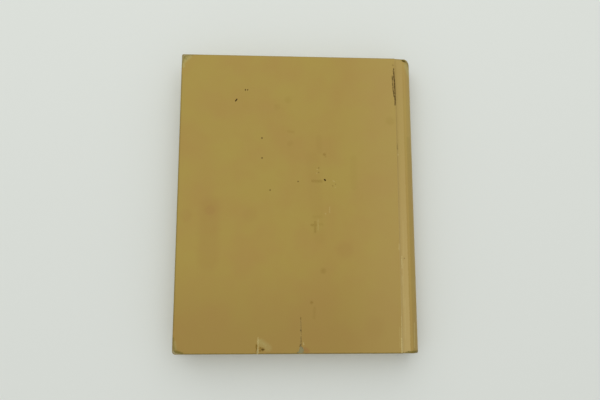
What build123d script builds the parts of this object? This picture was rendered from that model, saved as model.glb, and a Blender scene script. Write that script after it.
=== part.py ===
from build123d import *
import math
import os

# Case-bound book, closed, lying on its front cover with the back cover up.
# +X runs from the fore-edge to the spine, +Y from tail to head, +Z up. The origin is under the middle of the book.
# Sections are drawn in X and height over the book's mid-plane, and run from tail to head.

# The case
cover_height = 283.0
board_span = 208.0
book_thickness = 28.0
board_thickness = 2.5
covering_thickness = 0.4
turn_in = 15.0
mitre_slit = 0.3
board_edge_round = 1.2
cover_edge_round = 0.7
cover_corner = 1.5

# Wear on the back cover and the spine, as the corners have been knocked
knocked_tail_corner = 4.5
blunted_head_corner = 3.0
knocked_spine_head = 5.0

# Tears in the back cover's covering, in from the tail edge, placed from the fore-edge
short_tear_place = 76.0
short_tear_length = 9.0
short_tear_mouth = 1.0
long_tear_place = 115.0
long_tear_length = 31.0
long_tear_mouth = 0.8
missing_chip_width = 4.0
missing_chip_length = 5.0

# The joint between a board and the spine's ridge
groove_drop = 2.5
groove_foot_round = 1.0
hinge_from_board = 3.5
hinge_gap = 0.3
hinge_drop = 0.7
groove_floor_run = 6.5
rise_radius = 3.0
open_cover_clearance = 0.4

# The round of the spine, over its covering; what is set off the ridge or the shoulder is in degrees of the round
ridge_radius = 2.0
spine_bulge = 7.6
stiffener_thickness = 0.7
stiffener_off_ridge = 7.5
fold_over_stiffener = 2.0
lining_thickness = 0.2
lining_off_shoulder = 2.0
hollow_clearance = 0.15
glue_line = 0.05

# The block and its endpapers
square = 3.5
fore_edge_square = 4.0
fore_edge_hollow = 5.0
endpaper_thickness = 0.3
endpaper_fold = 0.8
leaf_gap = 0.15
mull_thickness = 0.25
mull_on_board = 25.0
mull_short_of_head = 18.0
lining_short_of_head = 1.0
band_cord_radius = 0.9
band_cord_bed = 0.15
band_tape_width = 13.0
band_off_shoulder = 1.0

# Heights over the mid-plane, from the back cover's face inwards
cover_face = book_thickness / 2
board_face = cover_face - covering_thickness
board_inside = board_face - board_thickness
turn_in_inside = board_inside - covering_thickness
pastedown_inside = turn_in_inside - endpaper_thickness
groove_floor = cover_face - groove_drop

# The ridge stands just clear of the cover's face when the cover lies open at 180 degrees over the spine
ridge_height = cover_face - 2 * hinge_drop - open_cover_clearance
ridge_centre_height = ridge_height - ridge_radius
rise_slope = math.degrees(math.acos(1 - (ridge_height - groove_floor) / (rise_radius + ridge_radius)))

# The round that stands `spine_bulge` out past the ridges and runs smoothly into both of them
spine_radius = (spine_bulge**2 + ridge_centre_height**2 - ridge_radius**2) / (2 * (spine_bulge - ridge_radius))
shoulder_angle = math.degrees(math.asin(ridge_centre_height / (spine_radius - ridge_radius)))

# Depths under the covering's outside where the layers lie in the joint
fold_depth = 2 * covering_thickness
mull_depth = covering_thickness + mull_thickness
strip_depth = fold_depth + endpaper_thickness
leaf_depth = groove_floor - pastedown_inside + leaf_gap
block_depth = leaf_depth + endpaper_thickness
block_half = groove_floor - block_depth

# Radii of the layers on the spine, from the covering inwards
stiffener_radius = spine_radius - covering_thickness
spine_fold_radius = stiffener_radius - stiffener_thickness
lining_radius = spine_fold_radius - covering_thickness - hollow_clearance
mull_radius = lining_radius - lining_thickness - glue_line
block_radius = mull_radius - mull_thickness - glue_line

# How far up and down the round each layer reaches, in degrees from the mid-plane
stiffener_half_angle = shoulder_angle - stiffener_off_ridge
block_half_angle = math.degrees(math.asin(block_half / block_radius))
lining_half_angle = block_half_angle - lining_off_shoulder
band_half_angle = block_half_angle - band_off_shoulder

# Places along X, first counted from the board's fore-edge and then moved so that the book's middle is at X = 0
rise_run = (rise_radius + ridge_radius) * math.sin(math.radians(rise_slope))
ridge_from_board = groove_floor_run + rise_run
spine_from_board = ridge_from_board + spine_bulge - spine_radius
book_depth = board_span + spine_from_board + spine_radius
fore_edge_x = -book_depth / 2
board_end_x = fore_edge_x + board_span
hinge_x = board_end_x + hinge_from_board
rise_x = board_end_x + groove_floor_run
spine_x = board_end_x + spine_from_board
block_fore_x = fore_edge_x + fore_edge_square

# Lengths from tail to head
board_height = cover_height - 2 * covering_thickness
block_height = cover_height - 2 * square
mull_height = block_height - 2 * mull_short_of_head
lining_height = block_height - 2 * lining_short_of_head


def along_book(section, length, middle=0.0):
    """Stands a section up in the book and runs it from tail to head, centred on `middle`."""
    run = extrude(Plane.XZ * section, length / 2, both=True)
    return Pos(0, middle, book_thickness / 2) * run


def at_both_ends(section, outer_end, length):
    """Runs a section for `length` inwards from the tail end and from the head end."""
    middle = outer_end - length / 2
    return along_book(section, length, middle) + along_book(section, length, -middle)


def strip(x_from, x_to, low, high):
    """A flat layer of a section, between two places along X and two heights."""
    return Pos((x_from + x_to) / 2, (low + high) / 2) * Rectangle(x_to - x_from, high - low)


def under_joint(depth):
    """The section inside the surface `depth` under the covering, from one hinge line round the spine to the other."""
    start = Vector(hinge_x + hinge_gap / 2, groove_floor - depth)
    end = Vector(start.X, -start.Y)
    edges = [Line(start, (rise_x, start.Y))]
    ridge_turn = rise_slope + 90 - shoulder_angle
    turns = [
        (rise_radius + depth, rise_slope),
        (ridge_radius - depth, -ridge_turn),
        (spine_radius - depth, -2 * shoulder_angle),
        (ridge_radius - depth, -ridge_turn),
        (rise_radius + depth, rise_slope),
    ]
    for radius, turn in turns:
        edges.append(JernArc(edges[-1] @ 1, edges[-1] % 1, radius, turn))
    edges.append(Line(edges[-1] @ 1, end))
    edges.append(Line(end, start))
    return make_face(edges)


def spine_disc(radius):
    """The disc inside one layer of the spine's round."""
    return Pos(spine_x, 0) * Circle(radius)


def spine_layer(inner, outer, half_angle):
    """A layer of the spine's round between two radii, the same angle up and down from the mid-plane."""
    ring = spine_disc(outer) - spine_disc(inner)
    far = 2 * spine_radius
    rise = far * math.tan(math.radians(half_angle))
    wedge = Polygon((0, 0), (far, -rise), (far, rise), align=None)
    return ring & (Pos(spine_x, 0) * wedge)


def upper_half(section):
    """What lies over the mid-plane, on the back cover's side."""
    return section & strip(fore_edge_x, -fore_edge_x, 0, book_thickness)


def to_front(solid):
    """The front cover's copy of a piece of the back cover, turned over the mid-plane."""
    return mirror(solid, Plane.XY.offset(book_thickness / 2))


def round_corner(outline, corner, radius):
    """The outline with the corner nearest to a point rounded."""
    return fillet(outline.vertices().sort_by_distance(corner)[0], radius)


def cover_plan(inset, tail_corner, head_corner):
    """A cover's outline seen from above, as far as the hinge line, with its two fore-edge corners rounded."""
    edge_x = fore_edge_x + inset
    half = cover_height / 2 - inset
    outline = strip(edge_x, hinge_x - hinge_gap / 2, -half, half)
    outline = round_corner(outline, (edge_x, -half), tail_corner - inset)
    return round_corner(outline, (edge_x, half), head_corner - inset)


def cover_section():
    """A covered board's section, with the covering running down the board's edge into the groove."""
    end_x = hinge_x - hinge_gap / 2
    foot = Vector(board_end_x + groove_foot_round, groove_floor)
    floor = Line((end_x, groove_floor), foot)
    hollow = JernArc(foot, (-1, 0), groove_foot_round, -90)
    wall = Line(hollow @ 1, (board_end_x, cover_face - board_edge_round))
    shoulder = JernArc(wall @ 1, (0, 1), board_edge_round, 90)
    face = Line(shoulder @ 1, (fore_edge_x, cover_face))
    fore = Line(face @ 1, (fore_edge_x, turn_in_inside))
    inside = Line(fore @ 1, (end_x, turn_in_inside))
    return make_face([floor, hollow, wall, shoulder, face, fore, inside, Line(inside @ 1, floor @ 0)])


def board(tail_corner, head_corner):
    """The grey board, with its spine edge rounded on the outside like the covering over it."""
    edge_x = board_end_x - covering_thickness
    section = strip(fore_edge_x + covering_thickness, edge_x, board_inside, board_face)
    section = round_corner(section, (edge_x, board_face), board_edge_round - covering_thickness)
    slab = along_book(section, board_height)
    plan = cover_plan(covering_thickness, tail_corner, head_corner)
    return slab & extrude(plan, book_thickness)


def mitre_cuts():
    """The slits where the turned-in margins meet at the two fore-edge corners, at 45 degrees."""
    reach = turn_in * math.sqrt(2)
    low = book_thickness / 2 + turn_in_inside
    cuts = []
    for side in (-1, 1):
        slit = Box(reach, mitre_slit, covering_thickness, align=(Align.MIN, Align.CENTER, Align.MIN))
        corner = Pos(fore_edge_x + covering_thickness, side * (cover_height / 2 - covering_thickness), low)
        cuts.append(corner * Rot(0, 0, -side * 45) * slit)
    return cuts


def tail_tears():
    """What the tears take out of the back cover's covering: two slits that narrow from the tail edge, and one chip."""
    tail_y = -cover_height / 2
    tears = [
        (short_tear_place, short_tear_length, short_tear_mouth),
        (long_tear_place, long_tear_length, long_tear_mouth),
    ]
    chip = Pos(fore_edge_x + long_tear_place, tail_y) * Ellipse(missing_chip_width / 2, missing_chip_length)
    plans = [chip]
    for place, length, mouth in tears:
        x = fore_edge_x + place
        plans.append(Polygon((x - mouth / 2, tail_y), (x + mouth / 2, tail_y), (x, tail_y + length), align=None))
    half_down_the_edge = book_thickness / 2 + board_inside + board_thickness / 2
    return [Pos(0, 0, half_down_the_edge) * extrude(plan, board_thickness) for plan in plans]


def cover_covering(tail_corner, head_corner):
    """The covering of one board: over its face, turned in round three edges, and down into the joint's groove."""
    whole = along_book(cover_section(), cover_height)
    whole &= extrude(cover_plan(0, tail_corner, head_corner), book_thickness)
    face = whole.faces().sort_by(Axis.Z)[-1]
    spine_side_edge = face.edges().sort_by(Axis.X)[-1]
    whole = fillet([edge for edge in face.edges() if edge != spine_side_edge], cover_edge_round)
    window = strip(fore_edge_x + turn_in, hinge_x, turn_in_inside, board_inside)
    paper = whole - board(tail_corner, head_corner) - along_book(window, cover_height - 2 * turn_in)
    for cut in mitre_cuts():
        paper -= cut
    return paper


def pastedown():
    """The endpaper glued over the turned-in margins and the gauze, sunk between them onto the bare board."""
    low, high = pastedown_inside, turn_in_inside
    sheet = along_book(strip(block_fore_x, hinge_x - hinge_gap / 2, low, high), block_height)
    well_from = fore_edge_x + turn_in
    well_to = board_end_x - covering_thickness - mull_on_board
    well_height = cover_height - 2 * turn_in
    sunk = along_book(strip(well_from, well_to, low, board_inside), well_height)
    wall = endpaper_thickness
    hollow_section = strip(well_from + wall, well_to - wall, low, board_inside - wall)
    return sheet + sunk - along_book(hollow_section, well_height - 2 * wall)


def mull_flange():
    """The gauze's flange, through the joint and onto the inside of the board under the pastedown."""
    from_x = board_end_x - covering_thickness - mull_on_board
    section = strip(from_x, hinge_x - hinge_gap / 2, board_inside - mull_thickness, board_inside)
    return along_book(section, mull_height)


def free_endpaper():
    """The fly leaf on the block, folded back at the shoulder, with its strip out to the hinge line."""
    leaf = under_joint(leaf_depth) - under_joint(block_depth)
    hinge_strip = under_joint(fold_depth) - under_joint(strip_depth)
    shoulder_ring = spine_disc(block_radius) - spine_disc(block_radius - endpaper_fold)
    folded_edge = (under_joint(fold_depth) - under_joint(block_depth)) & shoulder_ring
    at_shoulder = upper_half((leaf + hinge_strip + folded_edge) & spine_disc(block_radius))
    on_block = strip(block_fore_x, rise_x, block_half, block_half + endpaper_thickness)
    return along_book(at_shoulder + on_block, block_height)


def text_block():
    """The pages as one block, hollow at the fore-edge, rounded and backed into shoulders at the spine."""
    pages = strip(block_fore_x, rise_x, -block_half, block_half)
    backed = under_joint(block_depth) & spine_disc(block_radius)
    hollow_radius = (block_half**2 + fore_edge_hollow**2) / (2 * fore_edge_hollow)
    hollow = Pos(block_fore_x + fore_edge_hollow - hollow_radius, 0) * Circle(hollow_radius)
    return along_book(pages + backed - hollow, block_height)


def spine_mull():
    """The gauze on the back of the block, over the shoulders and out to both hinge lines."""
    on_spine = (spine_disc(mull_radius) - spine_disc(block_radius + glue_line)) & under_joint(covering_thickness)
    in_joint = (under_joint(covering_thickness) - under_joint(mull_depth)) & spine_disc(mull_radius)
    section = on_spine & strip(spine_x, -fore_edge_x, -cover_face, cover_face)
    return along_book(section + in_joint, mull_height)


def spine_lining():
    """The paper glued over the gauze between the shoulders."""
    section = spine_layer(lining_radius - lining_thickness, lining_radius, lining_half_angle)
    return along_book(section, lining_height)


def knocked_spine():
    """Everything inside the spine's outline seen from above, with its head corner knocked round."""
    outline = round_corner(Rectangle(book_depth, cover_height), (book_depth / 2, cover_height / 2), knocked_spine_head)
    return extrude(outline, book_thickness)


def spine_stiffener():
    """The curved card in the spine of the case."""
    section = spine_layer(spine_fold_radius, stiffener_radius, stiffener_half_angle)
    return along_book(section, board_height) & knocked_spine()


def spine_covering():
    """The covering over the spine and its ridges, turned in round the card at head and tail."""
    skin = under_joint(0) - under_joint(covering_thickness)
    joint_fold = under_joint(covering_thickness) - under_joint(fold_depth)
    card_fold_angle = stiffener_half_angle + fold_over_stiffener
    card_fold = spine_layer(spine_fold_radius - covering_thickness, stiffener_radius, card_fold_angle)
    card = spine_layer(spine_fold_radius, stiffener_radius, stiffener_half_angle)
    doubled = skin + joint_fold + card_fold
    paper = along_book(skin, cover_height - 2 * turn_in)
    paper += at_both_ends(doubled - card, cover_height / 2 - covering_thickness, turn_in - covering_thickness)
    paper += at_both_ends(doubled, cover_height / 2, covering_thickness)
    return paper & knocked_spine()


def end_band(side):
    """A headband: a cord along the end of the block's spine, sewn on a tape that is glued down the back."""
    end_y = side * block_height / 2
    path_radius = block_radius - band_cord_radius + band_cord_bed
    cord_y = end_y + side * band_cord_radius
    plane = Plane(origin=(spine_x, cord_y, book_thickness / 2), x_dir=(1, 0, 0), z_dir=(0, -1, 0))
    path = plane * CenterArc((0, 0), path_radius, -band_half_angle, 2 * band_half_angle)
    cord = sweep(Plane(origin=path @ 0, z_dir=path % 0) * Circle(band_cord_radius), path)
    tape_section = spine_layer(mull_radius - mull_thickness, mull_radius, band_half_angle)
    tape_length = band_tape_width + band_cord_radius
    tape = along_book(tape_section, tape_length, end_y + side * (band_cord_radius - tape_length / 2))
    return cord + tape


back_corners = (knocked_tail_corner, blunted_head_corner)
front_corners = (cover_corner, cover_corner)

back_paper = cover_covering(*back_corners)
for tear in tail_tears():
    back_paper -= tear

pieces = {
    "text_block": text_block(),
    "back_free_endpaper": free_endpaper(),
    "front_free_endpaper": to_front(free_endpaper()),
    "spine_mull": spine_mull(),
    "spine_lining": spine_lining(),
    "head_band": end_band(1),
    "tail_band": end_band(-1),
    "spine_stiffener": spine_stiffener(),
    "spine_cover_paper": spine_covering(),
    "back_board": board(*back_corners),
    "back_cover_paper": back_paper,
    "back_mull_flange": mull_flange(),
    "back_pastedown": pastedown(),
    "front_board": to_front(board(*front_corners)),
    "front_cover_paper": to_front(cover_covering(*front_corners)),
    "front_mull_flange": to_front(mull_flange()),
    "front_pastedown": to_front(pastedown()),
}

os.makedirs("parts", exist_ok=True)
for name, shape in pieces.items():
    export_step(shape, f"parts/{name}.step")
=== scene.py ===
import math
from functools import partial

import bpy
import numpy as np
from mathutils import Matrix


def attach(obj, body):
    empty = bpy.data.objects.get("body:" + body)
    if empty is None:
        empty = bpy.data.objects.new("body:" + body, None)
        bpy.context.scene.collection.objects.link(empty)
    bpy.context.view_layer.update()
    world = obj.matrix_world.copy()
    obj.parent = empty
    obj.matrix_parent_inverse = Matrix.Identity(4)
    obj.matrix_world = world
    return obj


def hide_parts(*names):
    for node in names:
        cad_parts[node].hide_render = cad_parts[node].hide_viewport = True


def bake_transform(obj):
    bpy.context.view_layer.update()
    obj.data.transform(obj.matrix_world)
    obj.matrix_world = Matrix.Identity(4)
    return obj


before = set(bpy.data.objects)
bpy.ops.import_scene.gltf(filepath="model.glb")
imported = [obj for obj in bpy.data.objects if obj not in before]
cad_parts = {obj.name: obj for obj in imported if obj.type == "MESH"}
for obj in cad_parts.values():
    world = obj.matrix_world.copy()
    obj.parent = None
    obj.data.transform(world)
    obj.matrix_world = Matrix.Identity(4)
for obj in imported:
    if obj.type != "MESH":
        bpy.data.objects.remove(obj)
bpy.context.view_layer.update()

# Sizes are in millimetres, apart from those of the wound bands, the floor, the light and the camera, which
# are in metres. X runs from the fore-edge to the spine, Y from tail to head, and a height h is counted from
# the book's mid-plane, which lies 14 mm over the floor.


# ---------------------------------------------------------------- the back cover's covering
# One sheet of ochre paper is glued over the back board, pressed down into the joint, drawn round the spine
# and turned in 15 mm round every edge, with mitred corners. Knocks have rounded three corners, and the
# tail edge is torn in two places.

mid_height = 14.0
half_length = 141.5
fore_edge = -112.326
board_end = 95.674
spine_centre = 98.236
spine_radius = 14.089
spine_apex = spine_centre + spine_radius
cover_face = 14.0
groove_floor = 11.5
fold_height = 10.7
board_edge_round = 1.2
groove_foot_round = 1.0
rise_start = 102.174
rise_radius = 3.0
rise_slope = 30.683
ridge_centre = (104.726, 10.2)
ridge_radius = 2.0
shoulder_angle = 57.535
joint_fold = 0.8
card_fold = 1.5
edge_round = 0.7
turn_in = 15.0
sheet_thickness = 0.36
edge_steps, groove_steps, rise_steps, ridge_steps, spine_steps = 6, 26, 5, 9, 64


def arc(centre, radius, start, stop, steps, outward):
    """Points and outward normals along an arc of the section. Outward is 1 on a bulge, -1 in a hollow."""
    angles = np.radians(np.linspace(start, stop, steps + 1))
    normals = np.column_stack([np.cos(angles), np.sin(angles)])
    return np.array(centre) + radius * normals, outward * normals


def straight(start, stop, steps, normal):
    """Points and normals along a straight run of the section."""
    along = np.linspace(0, 1, steps + 1)[:, None]
    points = np.array(start) * (1 - along) + np.array(stop) * along
    return points, np.tile(normal, (steps + 1, 1)).astype(float)


def smooth_step(low, high, value):
    """0 below low, 1 above high, and an even curve between them."""
    share = np.clip((np.asarray(value, float) - low) / (high - low), 0, 1)
    return share * share * (3 - 2 * share)


def joint_stations():
    """Section from the board's face into the groove and up to the ridge, and where each point folds to."""
    foot = board_end + groove_foot_round
    shoulder_x = board_end - board_edge_round
    edge, _ = arc((shoulder_x, cover_face - board_edge_round), board_edge_round, 90, 0, edge_steps, 1)
    hollow, _ = arc((foot, groove_floor + groove_foot_round), groove_foot_round, 180, 270, edge_steps, -1)
    points = np.concatenate([edge, hollow])
    spread = np.linspace(shoulder_x, foot, len(points))
    folded = np.column_stack([spread, np.full(len(points), fold_height)])
    runs = [
        straight((foot, groove_floor), (rise_start, groove_floor), groove_steps, (0, 1)),
        arc((rise_start, groove_floor + rise_radius), rise_radius, 270, 270 + rise_slope, rise_steps, -1),
        arc(ridge_centre, ridge_radius, 90 + rise_slope, shoulder_angle, ridge_steps, 1),
    ]
    for run_points, run_normals in runs:
        points = np.concatenate([points, run_points[1:]])
        folded = np.concatenate([folded, (run_points - joint_fold * run_normals)[1:]])
    return points, folded


def spine_stations():
    """Section round the spine from the back ridge to the front one. Its fold takes in the card."""
    points, normals = arc((spine_centre, 0), spine_radius, shoulder_angle, -shoulder_angle, spine_steps, 1)
    angles = np.degrees(np.arctan2(normals[:, 1], normals[:, 0]))
    fold = joint_fold + (card_fold - joint_fold) * smooth_step(3.0, 8.0, shoulder_angle - np.abs(angles))
    return points, points - fold[:, None] * normals


def mirrored(stations):
    """The same section on the other side of the mid-plane, run the other way."""
    return [part[::-1] * (1, -1) for part in stations]


class Sheet:
    """Collects a sheet's points, with how rubbed, torn and far in the joint each is, and its faces."""

    def __init__(self):
        self.points, self.rub, self.torn, self.joint, self.faces = [], [], [], [], []

    def add(self, point, rub=0.0, torn=0.0, joint=0.0):
        self.points.append(point)
        self.rub.append(rub)
        self.torn.append(torn)
        self.joint.append(joint)
        return len(self.points) - 1


def spread_out(wanted, others, gap):
    """The wanted places, with those of the others that keep a gap from them all."""
    kept = list(wanted)
    for place in others:
        if all(abs(place - other) >= gap for other in kept):
            kept.append(place)
    return np.array(sorted(kept))


def corner_rows(radius):
    """How far the rows round a corner lie from the end of the cover."""
    inner = radius - edge_round
    return [radius - inner * math.cos(math.radians(a)) for a in np.linspace(0, 90, 8)]


def from_ends(tail_rows, head_rows):
    """Rows given by how far they lie from the tail and from the head."""
    return [r - half_length for r in tail_rows] + [half_length - r for r in head_rows]


def fore_outline(y, tail_corner, head_corner):
    """Where the rounded-over fore-edge begins at a row, and the outline's normal there."""
    for side, radius in ((-1, tail_corner), (1, head_corner)):
        over = side * y - (half_length - radius)
        if over > 0:
            inner = radius - edge_round
            reach = math.sqrt(max(inner**2 - over**2, 0.0))
            return fore_edge + radius - reach, (-reach / inner, side * over / inner)
    return fore_edge + edge_round, (-1.0, 0.0)


def end_profile(fold):
    """How a margin goes round the edge: pairs of how far out and how deep, and the round's radius."""
    radius = min(edge_round, fold / 2)
    quarter = [math.radians(a) for a in (22.5, 45, 67.5, 90)]
    outer = [(radius * math.sin(a), radius * (1 - math.cos(a))) for a in quarter]
    inner = [(radius * math.cos(a), fold - radius + radius * math.sin(a)) for a in [0, *quarter]]
    return outer + [(radius, fold / 2)] + inner, radius


corner_pull = 20.0
knock_share, knock_run = 0.93, (16.0, 4.0)
filled_share = 0.6
tear_pull, lip_width = 6.0, 1.6
edge_rub, edge_rub_width = 0.75, 1.3
corner_rub, knock_rub, corner_rub_width = 1.15, 1.25, 7.0
# Where the pale joint band runs: partly wear, partly painted sheen on the groove's slope
joint_rub_and_sheen_start, joint_rub_and_sheen_end = (94.4, 95.4), (101.8, 105.0)
rubbed_round = [0.86, 0.8, 0.68, 0.5, 0.28, 0.42, 0.55, 0.5, 0.35, 0.2]
torn_levels = 4
mitre_gap = 0.1


def covering_sheet(side, tail_corner, head_corner, stations, columns, rows, tears, knock):
    """A covering as an open sheet. Side is 1 for the back cover and -1 for the front one. Tears maps a
    column to its tear's shape and the pale fibre in it. Knock is the radius of the spine's head corner."""
    points, folded = stations
    sheet = Sheet()
    plate = len(columns)
    width = plate + len(points)
    left, right = {}, {}

    def knocked(x, y):
        """Presses the spine's knocked head corner down."""
        over = np.clip(x - (spine_apex - knock), 0, knock_share * knock)
        drop = (knock - math.sqrt(max(knock**2 - over**2, 0))) if knock else 0.0
        return y - drop * float(smooth_step(half_length - knock_run[0], half_length - knock_run[1], y))

    def run_out(column, y):
        """How far the groove's floor comes up near the head, where the turned-in paper fills it."""
        if column < plate or y < half_length - turn_in:
            return 0.0
        x, h = points[column - plate]
        if h <= 0 or x >= ridge_centre[0]:
            return 0.0
        ridge_top = ridge_centre[1] + ridge_radius
        bridge = np.interp(x, (board_end, ridge_centre[0]), (cover_face, ridge_top))
        return filled_share * max(bridge - h, 0.0) * (y - half_length + turn_in) / turn_in

    def place(column, y, out_x, out_y, depth, shift, lift):
        """A point of the sheet in metres, from its column, row, and place on the edge's profile."""
        if column < plate:
            reach, _ = fore_outline(y, tail_corner, head_corner)
            pull = max(0.0, 1 - (columns[column] - columns[0]) / corner_pull)
            x = fore_edge + columns[column] + (reach - fore_edge - edge_round) * pull
            h = cover_face - depth
        else:
            start, end = points[column - plate], folded[column - plate]
            x, h = start + (end - start) * depth / np.linalg.norm(end - start)
        x += out_x + shift
        z = mid_height + side * (h + lift + run_out(column, y))
        return (x / 1000, knocked(x, y + out_y) / 1000, z / 1000)

    def fold_of(column):
        if column < plate:
            return cover_face - fold_height
        return float(np.linalg.norm(points[column - plate] - folded[column - plate]))

    def tear_shape(column, y, lip):
        """Sideways shift, lift and torn share of a point near the tail edge's tears."""
        shift = lift = torn = 0.0
        if column >= plate:
            return shift, lift, torn
        for tear_column, (shape, bared) in tears.items():
            away = columns[column] - columns[tear_column]
            way = lip if column == tear_column else (1 if away > 0 else -1)
            open_half, raised, fan = shape(y + half_length, away, way)
            shift += way * open_half * max(0.0, 1 - abs(away) / tear_pull)
            lift += raised * math.exp(-(abs(away) / lip_width)) + fan
            if column == tear_column and open_half > 0:
                torn = bared
        return shift, lift, torn

    def rub_at(column, y):
        """Wear on the outside, most on edges and corners."""
        to_end = half_length - abs(y)
        if column < plate:
            edge = min(to_end, columns[column])
            corner = corner_rub * math.exp(-math.hypot(to_end, columns[column]) / corner_rub_width)
        else:
            edge, corner = to_end, 0.0
            if knock:
                to_corner = math.hypot(half_length - y, spine_apex - points[column - plate][0])
                corner = knock_rub * math.exp(-to_corner / corner_rub_width)
        return min(1.0, edge_rub * math.exp(-edge / edge_rub_width) + corner)

    def joint_at(column):
        """How far a place lies in the groove and on the rise of the joint."""
        if column < plate:
            return 0.0
        x = points[column - plate][0]
        return float(smooth_step(*joint_rub_and_sheen_start, x) * (1 - smooth_step(*joint_rub_and_sheen_end, x)))

    def lips(column):
        return (-1, 1) if column in tears else (-1,)

    # The outside of the sheet
    last_row = len(rows) - 1
    for row, y in enumerate(rows):
        for column in range(width):
            y_here = y
            if row in (0, last_row):
                y_here = math.copysign(half_length - min(edge_round, fold_of(column) / 2), y)
            for lip in lips(column):
                shift, lift, torn = tear_shape(column, y_here, lip)
                spot = place(column, y_here, 0, 0, 0, shift, lift)
                made = sheet.add(spot, rub_at(column, y_here), torn, joint_at(column))
                (left if lip == -1 else right)[row, column] = made
    right = {**left, **right}
    for row in range(last_row):
        for column in range(width - 1):
            near, far = (row, column), (row + 1, column)
            beside, across = (row, column + 1), (row + 1, column + 1)
            sheet.faces.append((right[near], left[beside], left[across], right[far]))

    # The margins, turned in round the tail, the fore-edge and the head
    edge_path = [(0, column, lip) for column in reversed(range(width)) for lip in lips(column)[::-1]]
    edge_path += [(row, 0, -1) for row in range(1, last_row)]
    edge_path += [(last_row, column, -1) for column in range(width)]
    before = None
    for row, column, lip in edge_path:
        y = rows[row]
        at_end = row in (0, last_row)
        profile, fold_round = end_profile(fold_of(column))
        if at_end:
            y = math.copysign(half_length - fold_round, y)
            out = (0.0, math.copysign(1, y))
        else:
            out = fore_outline(y, tail_corner, head_corner)[1]
        ring = [(right if lip == 1 else left)[row, column]]
        for level, (far, deep) in enumerate(profile):
            shift = lift = torn = 0.0
            if row == 0 and level < torn_levels:
                shift, lift, torn = tear_shape(column, -half_length, lip)
            spot = place(column, y, out[0] * far, out[1] * far, deep, shift, 0.0 if level else lift)
            ring.append(sheet.add(spot, rubbed_round[level], torn, joint_at(column)))
        last = sheet.points[ring[-1]]
        x_edge = last[0] * 1000 - fore_edge
        y_edge = half_length - abs(last[1] * 1000)
        if at_end or abs(out[1]) > abs(out[0]):
            reach = min(turn_in, max(x_edge - mitre_gap, 0.0)) - y_edge
            inward = (0.0, -math.copysign(max(reach, 0.0), y))
        else:
            reach = min(turn_in, max(y_edge - mitre_gap, 0.0)) - x_edge
            inward = (max(reach, 0.0), 0.0)
        level_out = side * (run_out(column, y + inward[1]) - run_out(column, y)) / 1000
        end = (last[0] + inward[0] / 1000, last[1] + inward[1] / 1000, last[2] + level_out)
        ring.append(sheet.add(end, 0.1, 0.0, joint_at(column)))
        if before:
            for level in range(len(ring) - 1):
                sheet.faces.append((ring[level], ring[level + 1], before[level + 1], before[level]))
        before = ring
    if side < 0:
        sheet.faces = [face[::-1] for face in sheet.faces]
    return sheet


weld_within = 1e-7
sharp_angle = 50.0


def new_object(name, data):
    """A new object in the scene, at the origin."""
    made = bpy.data.objects.new(name, data)
    bpy.context.scene.collection.objects.link(made)
    return made


def plain_piece(name, rough):
    """The piece that an object with modifiers makes: a plain mesh, smooth but for its sharp edges."""
    graph = bpy.context.evaluated_depsgraph_get()
    mesh = bpy.data.meshes.new_from_object(rough.evaluated_get(graph), depsgraph=graph)
    mesh.name = name
    rough.modifiers.clear()
    bpy.data.objects.remove(rough)
    mesh.polygons.foreach_set("use_smooth", np.ones(len(mesh.polygons), bool))
    mesh.set_sharp_from_angle(angle=math.radians(sharp_angle))
    return new_object(name, mesh)


def solid_object(name, sheet, thickness):
    """A mesh piece from a sheet: welded, and given its thickness inwards."""
    mesh = bpy.data.meshes.new(name)
    mesh.from_pydata([tuple(map(float, p)) for p in sheet.points], [], sheet.faces)
    for label, values in (("rub", sheet.rub), ("torn", sheet.torn), ("joint", sheet.joint)):
        stored = mesh.attributes.new(label, "FLOAT", "POINT")
        stored.data.foreach_set("value", np.array(values, np.float32))
    rough = new_object(name, mesh)
    rough.modifiers.new("weld", "WELD").merge_threshold = weld_within
    solid = rough.modifiers.new("thickness", "SOLIDIFY")
    solid.thickness = thickness / 1000
    solid.offset = -1
    return plain_piece(name, rough)


def short_tear(up, away, way):
    """A 6 mm tear, its right lip crumpled into a small fan."""
    length, mouth, raised = 5.8, 0.6, 0.12
    fan_fades, fan_reach, fan_rise, fan_folds = 9.5, 13.0, 0.03, 16
    fan_opens, fan_closes = (0, 6), (46, 58)
    if not 0 <= up < length + 3:
        return 0.0, 0.0, 0.0
    shut = max(0.0, 1 - up / length)
    fan = 0.0
    if way > 0 and away < fan_reach:
        down = length + 1 - up
        angle = math.degrees(math.atan2(away, max(down, 0.3)))
        inside = float(smooth_step(*fan_opens, angle) * (1 - smooth_step(*fan_closes, angle)))
        inside *= 0.55 + 0.45 * math.cos(math.radians(angle * fan_folds))
        inside *= float(1 - smooth_step(fan_fades, fan_reach, away))
        fan = inside * fan_rise * math.hypot(away, down)
    return mouth / 2 * shut, raised * shut, fan


def long_tear(up, away, way):
    """A 31 mm tear with a chip of the covering missing at its mouth."""
    length, mouth, raised, chip_half, chip_length = 31.0, 0.1, 0.1, 2.8, 6.6
    if not 0 <= up < length:
        return 0.0, 0.0, 0.0
    shut = 1 - up / length
    open_half = mouth / 2 * shut
    if up < chip_length:
        open_half = max(open_half, chip_half * math.sqrt(1 - (up / chip_length) ** 2))
    wave = 1 + 0.35 * math.sin(up * 2.1 + way) + 0.25 * math.sin(up * 5.3)
    return open_half * wave, raised * shut, 0.0


short_tear_at, long_tear_at = 76.0, 115.0
tail_corner, head_corner, spine_knock = 3.0, 1.8, 5.0

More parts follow.
